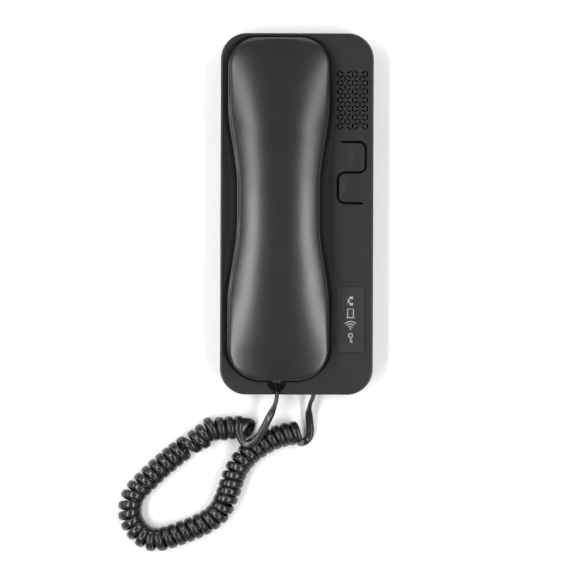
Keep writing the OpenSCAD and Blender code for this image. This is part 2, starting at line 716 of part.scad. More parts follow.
module handset_outer_shell() color(cover_colour) difference() {
    union() {
        dome_shell(dome(rim_step, 0, 18), dome(rim_step + shell_t, shell_t, 18));
        for (s = [-1, 1]) translate([handset_x, s * grip_screw_y, 31]) cylinder(r = 3.2, h = 10.2, $fn = 48);
    }
    for (s = [-1, 1]) translate([handset_x, s * grip_screw_y, 30]) cylinder(r = 1.3, h = 8.5, $fn = 48);
}

module handset_inner_shell() color(cover_colour) difference() {
    union() {
        intersection() {
            linear_extrude(60) handset_outline(0);
            seam_band(-inner_t, 0);
        }
        // locating lip inside the outer shell
        intersection() {
            linear_extrude(60) difference() {
                handset_outline(rim_step + shell_t + lip_gap);
                handset_outline(rim_step + shell_t + lip_gap + 1.2);
            }
            seam_band(-1, 1.2);
        }
        intersection() {
            union() {
                translate([handset_x, ear_y, cup_z]) cylinder(r = cup_r, h = 30);
                translate([handset_x, mouth_y, cup_z]) cylinder(r = mouth_cup_r, h = 30);
                translate([hook_x, hook_y, hook_high + fit]) cylinder(r = 4.2, h = 20, $fn = 64);
            }
            seam_band(-16, -0.5);
        }
        for (s = [-1, 1]) translate([handset_x, s * grip_screw_y, 25.5]) cylinder(r = 4, h = 5.4, $fn = 64);
    }
    translate([handset_x, ear_y, cup_z + cup_wall]) cylinder(r = cup_r - cup_wall, h = 30);
    translate([handset_x, mouth_y, cup_z + cup_wall]) cylinder(r = mouth_cup_r - cup_wall, h = 30);
    for (s = [-1, 1]) translate([handset_x, s * grip_screw_y, 20]) {
        cylinder(r = 2.6, h = 7.3, $fn = 48);
        cylinder(r = 1.4, h = 20, $fn = 48);
    }
    // sound holes: a centre hole and two rings in the ear cup, three in the mouth cup
    translate([handset_x, ear_y, cup_z - eps]) cylinder(r = sound_r, h = 4, $fn = 32);
    for (ring = [1, 2], k = [0:6 * ring - 1]) translate([handset_x, ear_y, cup_z - eps])
        rotate(60 * k / ring) translate([sound_ring * ring, 0, 0]) cylinder(r = sound_r, h = 4, $fn = 32);
    for (k = [-1:1]) translate([handset_x + 3 * k, mouth_y, cup_z - eps]) cylinder(r = 0.9, h = 4, $fn = 32);
    box([jack_x - plug_h / 2 - jack_wall - fit, jack_x + plug_h / 2 + jack_wall + fit],
        [-91.3, -81.1], [10, 40]);
}

module receiver_gasket() color(dark_colour) translate([handset_x, ear_y, cup_z + cup_wall]) difference() {
    cylinder(r = receiver_r, h = gasket_t);
    translate([0, 0, -eps]) cylinder(r = receiver_neck_r + 2, h = gasket_t + 2 * eps);
}

module receiver_capsule() color(steel_colour) translate([handset_x, ear_y, cup_z + cup_wall + gasket_t]) {
    cylinder(r = receiver_r, h = 4.5);
    cylinder(r = receiver_neck_r, h = 7);
}

module microphone_boot() color(dark_colour) translate([handset_x, mouth_y, cup_z + cup_wall]) difference() {
    cylinder(r = boot_r, h = 6.2, $fn = 64);
    translate([0, 0, -eps]) cylinder(r = microphone_r + 0.05, h = 8, $fn = 64);
}

module microphone_capsule() color(steel_colour) translate([handset_x, mouth_y, cup_z + cup_wall + 0.4])
    cylinder(r = microphone_r, h = 5.5, $fn = 64);

module receiver_wires() color([0.7, 0.15, 0.12])
    for (s = [0, 1.6]) tube(curve([
        [-13.4 - s, -82, 23.6], [-15 - s, -70, 25], [-17 - s, -45, 29], [-17.6 - s, -15, 30],
        [-17.6 - s, 15, 30], [-17 - s, 42, 28.5], [-14 - s, 56, 26], [-12 - s, 62, 24.9],
    ], 3), 0.55, 8);

module microphone_wires() color([0.2, 0.3, 0.6])
    for (s = [0, 1.6]) tube(curve([
        [-8 - s, -82, 23.6], [-8 - s, -76, 24.4], [-8.8 - s, -69, 24], [-9.4 - s, -63.5, 23],
    ], 3), 0.55, 8);

module handset_screws() color(steel_colour)
    for (s = [-1, 1]) translate([handset_x, s * grip_screw_y, 27.2]) rotate([180, 0, 0])
        screw(2.4, 1.6, 1.25, 10);

back_plate();
front_cover();
label_plate();
case_screws();
circuit_board();
board_screws();
board_chips();
board_capacitors();
terminal_block();
terminal_screws();
speaker_frame();
speaker_cone();
speaker_magnet();
speaker_mesh();
speaker_screws();
speaker_wires();
upper_switch_body();
lower_switch_body();
hook_switch();
hook_spring();
base_jack();
base_plug();
base_lead();
curly_cord();
handset_lead();
hook_plunger();
upper_button();
lower_button();
upper_switch_plunger();
lower_switch_plunger();
handset_outer_shell();
handset_inner_shell();
receiver_capsule();
receiver_gasket();
receiver_wires();
microphone_capsule();
microphone_boot();
microphone_wires();
handset_jack();
handset_plug();
handset_screws();
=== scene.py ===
"""Looks of the door entry handset station: cover, handset, buttons, label and cord.

Shapes are worked out in millimetres as whole arrays and turned into metres when a
mesh is made. +Z points out of the station's face and +Y towards its top end.
"""
import json

import bmesh
import bpy
import numpy as np
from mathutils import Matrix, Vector


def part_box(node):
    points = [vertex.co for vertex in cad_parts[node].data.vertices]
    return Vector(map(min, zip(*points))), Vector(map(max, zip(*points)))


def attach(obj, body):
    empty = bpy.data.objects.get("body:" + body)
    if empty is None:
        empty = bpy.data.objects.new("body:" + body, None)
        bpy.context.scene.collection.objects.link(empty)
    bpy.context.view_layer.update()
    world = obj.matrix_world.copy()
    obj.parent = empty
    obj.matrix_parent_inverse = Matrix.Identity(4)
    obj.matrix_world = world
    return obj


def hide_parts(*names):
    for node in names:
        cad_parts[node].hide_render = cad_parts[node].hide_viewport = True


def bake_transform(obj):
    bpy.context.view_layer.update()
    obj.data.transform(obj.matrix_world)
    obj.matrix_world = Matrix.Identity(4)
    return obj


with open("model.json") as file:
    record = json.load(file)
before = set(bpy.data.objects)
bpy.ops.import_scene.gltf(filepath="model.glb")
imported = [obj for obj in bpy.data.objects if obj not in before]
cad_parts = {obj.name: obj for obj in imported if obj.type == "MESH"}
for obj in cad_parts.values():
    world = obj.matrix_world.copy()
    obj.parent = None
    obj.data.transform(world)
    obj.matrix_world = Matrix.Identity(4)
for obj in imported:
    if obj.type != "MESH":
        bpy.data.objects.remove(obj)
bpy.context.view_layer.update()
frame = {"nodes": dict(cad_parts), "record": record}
MM = 0.001


def box_mm(node):
    """Lowest and highest corner of a CAD node, in millimetres."""
    low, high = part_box(node)
    return np.array(low) / MM, np.array(high) / MM


# ---- Sizes shared with the part's source, in millimetres ----

BASE_W, BASE_L, BASE_T = 84.6, 200.0, 20.0
CORNER_R, WALL_T, CEILING_Z = 14.4, 2.0, 17.4
HANDSET_X, HANDSET_TOP, HANDSET_BOTTOM = -10.2, 97.5, -92.0
LOBE_HALF, WAIST_HALF = 27.85, 22.6
WAIST_Y, WAIST_FLAT, WAIST_RAMP = 5.0, 10.0, 46.0
TOP_R, BOTTOM_R = 16.5, 18.0
SEAM_MID_Y = (HANDSET_TOP + HANDSET_BOTTOM) / 2
SEAM_Z, SEAM_R = 27.0, 900.0
CROWN_Z, CROWN_DROP, CROWN_REACH = 44.0, 10.0, 85.0
WAIST_FALL, EAR_FALL, MOUTH_FALL, FALL_POWER = 3.85, 5.05, 4.4, 2.2
END_REACH, END_FALL = 47.0, 0.7
DOME_INSET, DOME_SHIFT, RIM_W, SHELL_T = 0.55, (0.4, -0.4), 0.45, 2.2
EAR_Y, EAR_WELL_R, MOUTH_Y, MOUTH_WELL_R, WELL_Z, WELL_WALL = 70.0, 23.5, -62.0, 20.0, 12.6, 1.8
RECESS_Z = BASE_T - 1
STRIP_X, GRILLE_Y, GRILLE_SIDE = 30.3, 63.0, 4.74
GROOVE_W, GROOVE_SPAN, GROOVE_R = 1.27, 15.4, 3.8
TONGUE_MID_Y, TONGUE_PITCH, HINGE_SPAN, TONGUE_T = 22.95, 17.0, 11.6, 1.8
UPPER_HINGE_X = STRIP_X + GROOVE_SPAN / 2 - HINGE_SPAN
LOWER_HINGE_X = STRIP_X - GROOVE_SPAN / 2 + HINGE_SPAN
LABEL_X, LABEL_Y, LABEL_W, LABEL_L = 29.9, -58.3, 15.6, 36.2
JACK_X = -10.7
ABOVE = BASE_T + 1  # cutting solids end here, clear of the face


# ---- Camera ----

def add(name, data):
    """A new object at the origin that shows the data."""
    made = bpy.data.objects.new(name, data)
    bpy.context.scene.collection.objects.link(made)
    return made


camera = add("camera", bpy.data.cameras.new("camera"))
VIEW_CENTRE, VIEW_WIDTH, VIEW_AWAY, VIEW_TURN = (-5.86, -39.9), 316.3, 1600.0, 0.2
camera.location = (VIEW_CENTRE[0] * MM, VIEW_CENTRE[1] * MM, (BASE_T + VIEW_AWAY) * MM)
camera.rotation_euler = (0.0, 0.0, np.radians(VIEW_TURN))
camera.data.sensor_width = 36.0
camera.data.lens = camera.data.sensor_width * VIEW_AWAY / VIEW_WIDTH
camera.data.clip_end = 50.0
bpy.context.scene.camera = camera


# ---- Meshes from arrays ----

def mesh_of(name, points, faces, smooth_angle=35.0):
    """A mesh from points in millimetres and faces of any size; edges sharper than the angle stay sharp."""
    mesh = bpy.data.meshes.new(name)
    mesh.from_pydata((np.asarray(points) * MM).tolist(), [], [list(f) for f in faces])
    mesh.update()
    mesh.shade_smooth()
    mesh.set_sharp_from_angle(angle=np.radians(smooth_angle))
    return mesh


def grid_faces(rows, across, closed):
    """Quads between neighbouring points of a grid; a closed grid joins its last column to its first."""
    i, k = np.meshgrid(np.arange(rows - 1), np.arange(across if closed else across - 1), indexing="ij")
    a, b = i * across + k, i * across + (k + 1) % across
    return np.stack([a, b, b + across, a + across], -1).reshape(-1, 4)


def loft(loops):
    """A closed solid through loops of equal count, each an (n, 3) array that runs anticlockwise seen from the
    last loop's side: quads between neighbouring loops, and one flat face over the first and the last."""
    loops = np.asarray(loops, float)
    rows, across = loops.shape[:2]
    caps = [np.arange(across)[::-1], np.arange(across) + (rows - 1) * across]
    return loops.reshape(-1, 3), list(grid_faces(rows, across, True)) + caps


def joined(solids):
    """Several (points, faces) pairs as one."""
    points, faces, start = [], [], 0
    for p, f in solids:
        points.append(np.asarray(p, float))
        faces += [np.asarray(face) + start for face in f]
        start += len(p)
    return np.concatenate(points), faces


def at(loop, z):
    """A flat loop lifted to height z, one number or one for each point."""
    loop = np.asarray(loop, float)
    return np.column_stack([loop, np.broadcast_to(z, len(loop))])


def prism(loop, low, high):
    """The upright solid over a flat loop between two heights."""
    return loft([at(loop, low), at(loop, high)])


def arc(x, y, r, start, end, n):
    """n points on a circle's arc between two angles in degrees."""
    a = np.radians(np.linspace(start, end, n))
    return np.column_stack([x + r * np.cos(a), y + r * np.sin(a)])


def circle(x, y, r, n=64):
    """n points round a circle, anticlockwise."""
    return arc(x, y, r, 0, 360 * (1 - 1 / n), n)


def round_rect(x, y, w, l, r, n=12):
    """Anticlockwise rectangle with quarter circles of radius r at its corners, n points each."""
    a, b = w / 2 - r, l / 2 - r
    return np.concatenate([arc(x + a, y + b, r, 0, 90, n), arc(x - a, y + b, r, 90, 180, n),
                           arc(x - a, y - b, r, 180, 270, n), arc(x + a, y - b, r, 270, 360, n)])


def slot(x, y, length, width, turn, n=7):
    """Two half circles joined by straight sides, turned by an angle in degrees from upright."""
    half = (length - width) / 2
    loop = np.concatenate([arc(0, half, width / 2, 0, 180, n), arc(0, -half, width / 2, 180, 360, n)])
    c, s = np.cos(np.radians(turn)), np.sin(np.radians(turn))
    return loop @ np.array([[c, s], [-s, c]]) + [x, y]


def smooth(t):
    """0 below 0, 1 above 1 and 3 t squared less 2 t cubed between."""
    t = np.clip(t, 0, 1)
    return t * t * (3 - 2 * t)


def worked(mesh, solid, operation):
    """The mesh with a solid cut from it or added to it by a Boolean modifier, which is then made final."""
    body = add("work", mesh)
    tool = add("tool", mesh_of("tool", *solid))
    step = body.modifiers.new("step", "BOOLEAN")
    step.operation, step.solver, step.object = operation, "EXACT", tool
    result = bpy.data.meshes.new_from_object(body.evaluated_get(bpy.context.evaluated_depsgraph_get()))
    for used in (body, tool):
        data = used.data
        bpy.data.objects.remove(used)
        bpy.data.meshes.remove(data)
    return result


def eased(thing, width, segments=2, angle=40.0):
    """Rounds the edges of a piece that are sharper than the angle over by a width in millimetres."""
    step = thing.modifiers.new("eased edges", "BEVEL")
    step.width, step.segments, step.limit_method = width * MM, segments, "ANGLE"
    step.angle_limit = np.radians(angle)
    step.harden_normals = True
    return thing


def copy_of(node, name, width):
    """A CAD solid's shape as a piece of its own: its triangles merged, flat faces made whole, edges eased."""
    mesh = frame["nodes"][node].data.copy()
    work = bmesh.new()
    work.from_mesh(mesh)
    bmesh.ops.remove_doubles(work, verts=work.verts, dist=1e-6)
    bmesh.ops.dissolve_limit(work, angle_limit=np.radians(0.6), verts=work.verts, edges=work.edges)
    work.to_mesh(mesh)
    work.free()
    mesh.name = name
    mesh.shade_smooth()
    mesh.set_sharp_from_angle(angle=np.radians(35))
    mesh.materials.clear()
    return eased(add(name, mesh), width)


# ---- Curly cord ----

CABLE_HALF_W, CABLE_HALF_T, RING_STEP = 2.15, 1.25, 1.25
COIL_R, COIL_Z, PITCH, FIRST_ANGLE, LAST_ANGLE = 5.55, 6.9, 4.88, 66.0, 168.0
AXIS_STEP, AVERAGED, RINGS_A_TURN = 0.1, 70, 26
# height, middle and reach of bumps along the coil: in the pitch, and in how far the turns lean
OPEN_TURNS = ((0.10, 23.0, 2.5), (1.5, 37.5, 2.4))
LEANING_TURNS = ((5.5, 0.0, 3.6), (0.8, 24.0, 3.0), (0.8, 158.0, 4.0))
PITCH_WAVE, LEAN_WAVE = (0.03, 9.0), (0.35, 7.0)
# the far loop lies a little further out below FAR_BELOW, as bumps over x, and left of FAR_LEFT, as bumps over y
FAR_BELOW, BELOW_BUMPS = -160.0, ((0.8, -78.0, 22.0),)
FAR_LEFT, LEFT_BUMPS = -75.0, ((0.9, -165.0, 18.0),)
HANDSET_LEAD = np.array([
    [-10.9, -93.4, 15.95], [-11.0, -96.3, 17.3], [-10.6, -99.6, 19.3], [-11.2, -103.9, 19.2],
    [-13.0, -108.8, 18.0], [-15.5, -113.8, 16.8], [-18.0, -119.0, 15.6], [-20.6, -123.6, 14.6],
    [-23.5, -126.7, 13.9], [-26.8, -128.0, 13.4], [-29.6, -126.4, 12.8]])
BASE_LEAD = np.array([
    [3.3, -127.2, 5.3], [5.3, -126.5, 3.6], [7.3, -124.2, 2.8], [8.0, -120.4, 3.2], [7.5, -115.0, 4.8],
    [7.2, -109.8, 7.0], [7.9, -105.4, 9.2], [9.3, -102.0, 10.5], [9.8, -99.6, 10.65]])
COIL_AXIS = np.array([
    [-26.4, -120.6], [-29.6, -119.3], [-34.1, -118.8], [-39.2, -119.4], [-44.2, -119.7], [-48.9, -120.0],
    [-52.9, -124.9], [-57.2, -127.0], [-63.2, -131.2], [-67.1, -134.2], [-71.0, -137.4], [-74.5, -140.4],
    [-78.0, -143.7], [-81.5, -147.2], [-84.9, -150.7], [-88.2, -154.4], [-90.6, -158.8], [-91.5, -163.4],
    [-91.3, -167.8], [-90.0, -171.8], [-87.7, -175.4], [-84.4, -178.6], [-80.7, -180.4], [-76.8, -180.7],
    [-72.6, -179.9], [-68.3, -178.7], [-64.0, -177.3], [-59.7, -175.7], [-55.1, -173.9], [-50.8, -171.9],
    [-46.6, -169.3], [-42.6, -165.6], [-39.7, -160.2], [-37.4, -154.4], [-35.7, -149.2], [-33.8, -144.0],
    [-30.4, -138.2], [-25.8, -133.2], [-21.0, -129.6], [-16.3, -126.6], [-12.0, -124.6], [-7.7, -123.2],
    [-3.1, -122.2], [1.6, -121.7]])


def at_places(place, run, rows):
    """The rows' values at places along a run, each column by straight lines between its values."""
    return np.column_stack([np.interp(place, run, rows[:, k]) for k in range(rows.shape[1])])


def through(points, step):
    """A smooth curve through points (Catmull-Rom, timed by the chords' square roots), in even steps."""
    p = np.vstack([2 * points[0] - points[1], points, 2 * points[-1] - points[-2]])
    t = np.concatenate([[0], np.cumsum(np.sqrt(np.linalg.norm(np.diff(p, axis=0), axis=1)))])
    m = (p[2:] - p[:-2]) / (t[2:] - t[:-2])[:, None]
    gap = np.diff(t[1:-1])[:, None, None]
    u = np.linspace(0, 1, 12, endpoint=False)[None, :, None]
    a, b, ma, mb = p[1:-2, None], p[2:-1, None], m[:-1, None], m[1:, None]
    dense = (2 * u**3 - 3 * u**2 + 1) * a + (u**3 - 2 * u**2 + u) * gap * ma \
        + (3 * u**2 - 2 * u**3) * b + (u**3 - u**2) * gap * mb
    dense = np.vstack([dense.reshape(-1, p.shape[1]), points[-1]])
    run = np.concatenate([[0], np.cumsum(np.linalg.norm(np.diff(dense, axis=0), axis=1))])
    return at_places(np.linspace(0, run[-1], int(round(run[-1] / step)) + 1), run, dense)


def directions(path):
    """Unit vectors along a path, from the neighbours of each point."""
    d = np.gradient(path, axis=0)
    return d / np.linalg.norm(d, axis=1)[:, None]


def bumps(place, rows):
    """The sum of Gaussians, one for each row of height, middle and reach."""
    return sum(height * np.exp(-((place - middle) / reach) ** 2) for height, middle, reach in rows)


def coil():
    """Points of a helix of radius COIL_R, and the direction of its axis at each. It turns from the axis's left
    side over the top, once for each pitch. The pitch opens at a few places, and the turns lean to and fro along
    the axis. The direction is a mean over AVERAGED steps each way, so the turns don't swing at small bends."""
    axis = through(COIL_AXIS, AXIS_STEP)
    axis[:, 1] -= bumps(axis[:, 0], BELOW_BUMPS) * (axis[:, 1] < FAR_BELOW)
    axis[:, 0] -= bumps(axis[:, 1], LEFT_BUMPS) * (axis[:, 0] < FAR_LEFT)
    share = np.ones(2 * AVERAGED + 1) / (2 * AVERAGED + 1)
    longer = np.vstack([np.repeat(axis[:1], AVERAGED, 0), axis, np.repeat(axis[-1:], AVERAGED, 0)])
    ahead = directions(np.column_stack([np.convolve(longer[:, k], share, "valid") for k in (0, 1)]))
    run = np.linspace(0, AXIS_STEP * (len(axis) - 1), len(axis))
    pitch = PITCH * (1 + bumps(run, OPEN_TURNS) + PITCH_WAVE[0] * np.sin(run / PITCH_WAVE[1]))
    turn = np.cumsum(AXIS_STEP / pitch) * 360
    part_turn = LAST_ANGLE - FIRST_ANGLE
    whole = np.round((turn[-1] - part_turn) / 360) * 360 + part_turn
    turn = FIRST_ANGLE + turn * whole / turn[-1]
    angle = np.arange(FIRST_ANGLE, turn[-1], 360 / RINGS_A_TURN)
    place = np.interp(angle, turn, run)
    middle, t = at_places(place, run, axis), at_places(place, run, ahead)
    left = np.column_stack([-t[:, 1], t[:, 0]])
    phi = np.radians(angle)
    lean = LEAN_WAVE[0] * np.sin(place / LEAN_WAVE[1]) * np.cos(phi) + bumps(place, LEANING_TURNS) * np.sin(phi)
    flat = middle + COIL_R * np.cos(phi)[:, None] * left + lean[:, None] * t
    return at(flat, COIL_Z + COIL_R * np.sin(phi)), at(t, 0)


def cord_path():
    """Centres of the cord's rings, and at each the direction of travel and of the cable's width. The width
    stands upright at both plugs, lies level along the leads and runs along the coil's axis in the turns; smooth
    weights lead from one to the next."""
    upright_mm_a, upright_mm_b = (9, 16), (5, 13)  # the way the width stays upright, and the way it then turns
    early, blend_rings = 2, 7
    helix, helix_axis = coil()
    path = through(np.vstack([HANDSET_LEAD, helix, BASE_LEAD]), RING_STEP)
    ahead = directions(path)
    lead_a = len(through(np.vstack([HANDSET_LEAD, helix[:1]]), RING_STEP))
    lead_b = len(through(np.vstack([helix[-1:], BASE_LEAD]), RING_STEP))
    ring = np.arange(len(path))
    ring_back = ring[::-1]
    pick = np.clip((ring - lead_a) / (len(path) - lead_a - lead_b), 0, 1) * (len(helix_axis) - 1)
    axis = at_places(pick, np.arange(len(helix_axis)), helix_axis)
    level = np.cross([0, 0, 1], ahead)
    level /= np.linalg.norm(level, axis=1)[:, None] + 1e-9
    level = np.where((ring < len(path) / 2)[:, None], level, -level)
    upright_a = 1 - smooth((ring * RING_STEP - upright_mm_a[0]) / upright_mm_a[1])
    upright_b = 1 - smooth((ring_back * RING_STEP - upright_mm_b[0]) / upright_mm_b[1])
    coiled = smooth((ring - lead_a + early) / blend_rings) * smooth((ring_back - lead_b + early) / blend_rings)
    level_share = (1 - coiled) * (1 - upright_a) * (1 - upright_b)
    width = axis * coiled[:, None] + level * level_share[:, None]
    width += np.array([0.0, 0.0, 1.0]) * (upright_a + upright_b)[:, None]
    width -= np.sum(width * ahead, axis=1)[:, None] * ahead
    return path, ahead, width / np.linalg.norm(width, axis=1)[:, None]


def cord_section(n=28):
    """Offsets across the cable, along its width and along its thickness: a squared-off oval, made thinner by a
    Gaussian groove along the middle of both faces."""
    squareness, groove_depth, groove_reach = 2.1, 0.14, 0.42
    a = np.linspace(0, 2 * np.pi, n, endpoint=False)
    v = CABLE_HALF_W * np.cos(a)
    h = CABLE_HALF_T * np.sign(np.sin(a)) * np.sqrt(np.clip(1 - np.abs(np.cos(a)) ** squareness, 0, 1))
    return v, h * (1 - groove_depth * np.exp(-(v / groove_reach) ** 2))


path, ahead, width = cord_path()
v, h = cord_section()
thick = np.cross(ahead, width)
rings = path[:, None] + v[None, :, None] * width[:, None] + h[None, :, None] * thick[:, None]
curly = add("curly_cable", mesh_of("curly_cable", *loft(rings), 60))
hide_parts("handset_lead", "curly_cord", "base_lead")
path * MM
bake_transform(curly)


# ---- Cover of the base ----

FOOT_EDGE, FACE_EDGE, WALL_TOP = 0.4, 0.8, CEILING_Z + 0.5
# how far the recess goes out at its sides, and by how much more at the waist: at its bottom end, and elsewhere
RECESS_NEAR, RECESS_FAR, RECESS_BLEND = (0.9, 0.0), (3.7, 4.1), 24.0
RECESS_GAP, RECESS_END, RECESS_LEFT, RECESS_LOOPS = 0.2, 0.9, -41.2, 13
POCKET_HALF, POCKET_FRONT, POCKET_BACK, POCKET_Z = 5.4, -98.3, -79.6, 10.0
HOUSE_Y, HOUSE_W, HOUSE_L, HOUSE_WALL = -88.5, 14.4, 20.2, 1.8
SADDLE_Y, SADDLE_W, SADDLE_L, SADDLE_Z = -98.6, 4.6, 5.0, 16.4
PORT_Y, PORT_W, PORT_L, PORT_PLAY = -99.0, 7.2, 5.0, 0.4
HOOK_HOLE_R, SLOT_L, SLOT_W = 2.6, 2.9, 0.8
LABEL_GAP, LABEL_DEPTH, LABEL_R = 0.7, 0.9, 1.4
LARGE_FACE = 30.0  # in square millimetres; faces larger than this are flat, and are shaded so


def rounded_slab(outline, low, high, inset_low, inset_high, n=7):
    """A solid over outline(inset) with rounded edges: the inset follows a quarter circle at foot and head."""
    a = np.linspace(0, np.pi / 2, n)
    foot = [(inset_low * (1 - np.sin(k)), low + inset_low * (1 - np.cos(k))) for k in a]
    head = [(inset_high * (1 - np.cos(k)), high - inset_high * (1 - np.sin(k))) for k in a]
    return loft([at(outline(inset), z) for inset, z in foot + head])


def base_outline(inset):
    """The base's outline, drawn in by a distance."""
    return round_rect(0, 0, BASE_W - 2 * inset, BASE_L - 2 * inset, CORNER_R - inset, 28)


def lobe_share(y):
    """0 along the waist, rising smoothly to 1 at the ear and mouth ends."""
    return smooth((np.abs(y - WAIST_Y) - WAIST_FLAT) / WAIST_RAMP)


def body_half(y):
    """The handset's half width: from the waist's to the lobes' by the lobe share."""
    return WAIST_HALF + (LOBE_HALF - WAIST_HALF) * lobe_share(y)


def half_rows(side, end, more=0.0, corner=20, straight=64):
    """Rows (y, half width) of the handset's outline: quarter circles at both ends, the waist curve between
    them, all drawn in by side and end, and let out by more at the waist."""
    a = np.linspace(0, np.pi / 2, corner)
    rb, rt = BOTTOM_R - end, TOP_R - end
    y_low = HANDSET_BOTTOM + end + rb * (1 - np.cos(a))
    y_high = HANDSET_TOP - end - rt * (1 - np.cos(a))[::-1]
    y_mid = np.linspace(y_low[-1], y_high[0], straight + 2)[1:-1]
    cut = np.concatenate([rb * (1 - np.sin(a)), np.zeros(straight), rt * (1 - np.sin(a))[::-1]])
    y = np.concatenate([y_low, y_mid, y_high])
    return y, body_half(y) - side - cut + more * (1 - lobe_share(y))


def handset_loop(side, end, more=0.0):
    """The handset's outline anticlockwise, drawn in by side and end, and let out by more at the waist."""
    y, half = half_rows(side, end, more)
    right, left = np.column_stack([HANDSET_X + half, y]), np.column_stack([HANDSET_X - half, y])
    return np.concatenate([right, left[::-1]])


def recess():
    """The cradle recess. Its side climbs evenly from its floor to the face and ends softly there, as it goes
    out from the handset's edge: by a little at the bottom end and by more at the waist."""
    loops, soft_from, softness = [], 0.7, 0.15
    for t in np.linspace(0, 1, RECESS_LOOPS):
        near, far = (handset_loop(-RECESS_GAP - side * t, -RECESS_GAP - RECESS_END * t, more * t)
                     for side, more in (RECESS_NEAR, RECESS_FAR))
        loop = near + (far - near) * smooth((near[:, 1:] - HANDSET_BOTTOM) / RECESS_BLEND)
        loop[:, 0] = np.maximum(loop[:, 0], RECESS_LEFT)
        soft = max(t - soft_from, 0) / (1 - soft_from)
        loops.append(at(loop, RECESS_Z + (t - softness * soft ** 2) / (1 - softness)))
    return loft(loops + [loops[-1] + [0, 0, 1.5]])


def tongue_loop(hinge, free, middle, grow, n=10):
    """A tongue's outline: square at the hinge line, quarter circles at the free side, grown on all sides but
    the hinge line; free is +1 where the free side lies towards +X."""
    reach, tall = HINGE_SPAN - GROOVE_W / 2 + grow, TONGUE_PITCH - GROOVE_W + 2 * grow
    r = max(GROOVE_R - GROOVE_W / 2 + grow, 0.2)
    loop = np.concatenate([[[0, tall / 2], [0, -tall / 2]], arc(reach - r, -tall / 2 + r, r, 270, 360, n),
                           arc(reach - r, tall / 2 - r, r, 0, 90, n)])
    loop[:, 0] *= free
    return (loop if free > 0 else loop[::-1]) + [hinge, middle]


def grille_slots():
    """Slots on the edges of a pattern of triangles: upright ones in five columns, slanted ones between them."""
    pitch, made = GRILLE_SIDE * np.sqrt(3) / 2, []
    for c in range(5):
        x, count = STRIP_X + 0.3 + (c - 2) * pitch, 7 if c % 2 == 0 else 6
        made += [(x, GRILLE_Y + (k - (count - 1) / 2) * GRILLE_SIDE, 0) for k in range(count)]
        if c < 4:
            made += [(x + pitch / 2, GRILLE_Y + (k - 3) * GRILLE_SIDE + s * GRILLE_SIDE / 4,
                      (s if c % 2 == 0 else -s) * 60) for k in range(7) for s in (-1, 1)]
    return joined([prism(slot(x, y, SLOT_L, SLOT_W, turn), CEILING_Z - 0.5, BASE_T + 0.5)
                   for x, y, turn in made])


def well(y, r, foot=0.6, edge=0.35):
    """A round well with a rounded foot and an eased rim."""
    return loft([at(circle(HANDSET_X, y, radius, 128), z) for radius, z in (
        (r - foot, WELL_Z), (r - 0.3 * foot, WELL_Z + 0.3 * foot), (r, WELL_Z + foot), (r, RECESS_Z - edge),
        (r + 0.3 * edge, RECESS_Z - 0.3 * edge), (r + edge, RECESS_Z), (r + edge, ABOVE))])


def pocket():
    """The notch behind the handset's plug, half round at its front end."""
    left, right = JACK_X - POCKET_HALF, JACK_X + POCKET_HALF
    loop = np.concatenate([arc(JACK_X, POCKET_FRONT + POCKET_HALF, POCKET_HALF, 180, 360, 24),
                           [[right, POCKET_BACK], [left, POCKET_BACK]]])
    return prism(loop, POCKET_Z, ABOVE)


def window():
    """Four solids that free the button tongues: one round each, and the groove's end beyond each hinge."""
    end, past = 2.7 + GROOVE_W, 0.35
    loops = [tongue_loop(UPPER_HINGE_X, 1, TONGUE_MID_Y + TONGUE_PITCH / 2, GROOVE_W),
             tongue_loop(LOWER_HINGE_X, -1, TONGUE_MID_Y - TONGUE_PITCH / 2, GROOVE_W),
             slot(UPPER_HINGE_X - past, TONGUE_MID_Y + TONGUE_PITCH, end, GROOVE_W, 90),
             slot(LOWER_HINGE_X + past, TONGUE_MID_Y - TONGUE_PITCH, end, GROOVE_W, 90)]
    return [prism(loop, CEILING_Z - 1, ABOVE) for loop in loops]


def openings():
    """The solids cut from the cover, in the order of the cuts."""
    low, high = box_mm("base_plug")
    port = prism(round_rect((low[0] + high[0]) / 2, PORT_Y, PORT_W, PORT_L, 0.4, 4),
                 low[2] - PORT_PLAY, high[2] + PORT_PLAY)
    saddle = prism(round_rect(JACK_X, SADDLE_Y, SADDLE_W, SADDLE_L, 0.4, 4), SADDLE_Z, ABOVE)
    hook = sum(box_mm("hook_plunger")) / 2
    hook_hole = prism(circle(hook[0], hook[1], HOOK_HOLE_R, 48), CEILING_Z - 1, ABOVE)
    label_recess = prism(round_rect(LABEL_X, LABEL_Y, LABEL_W + LABEL_GAP, LABEL_L + LABEL_GAP, LABEL_R, 6),
                         BASE_T - LABEL_DEPTH, ABOVE)
    return [recess(), well(EAR_Y, EAR_WELL_R), well(MOUTH_Y, MOUTH_WELL_R), pocket(), saddle, *window(), port,
            hook_hole, label_recess, grille_slots()]


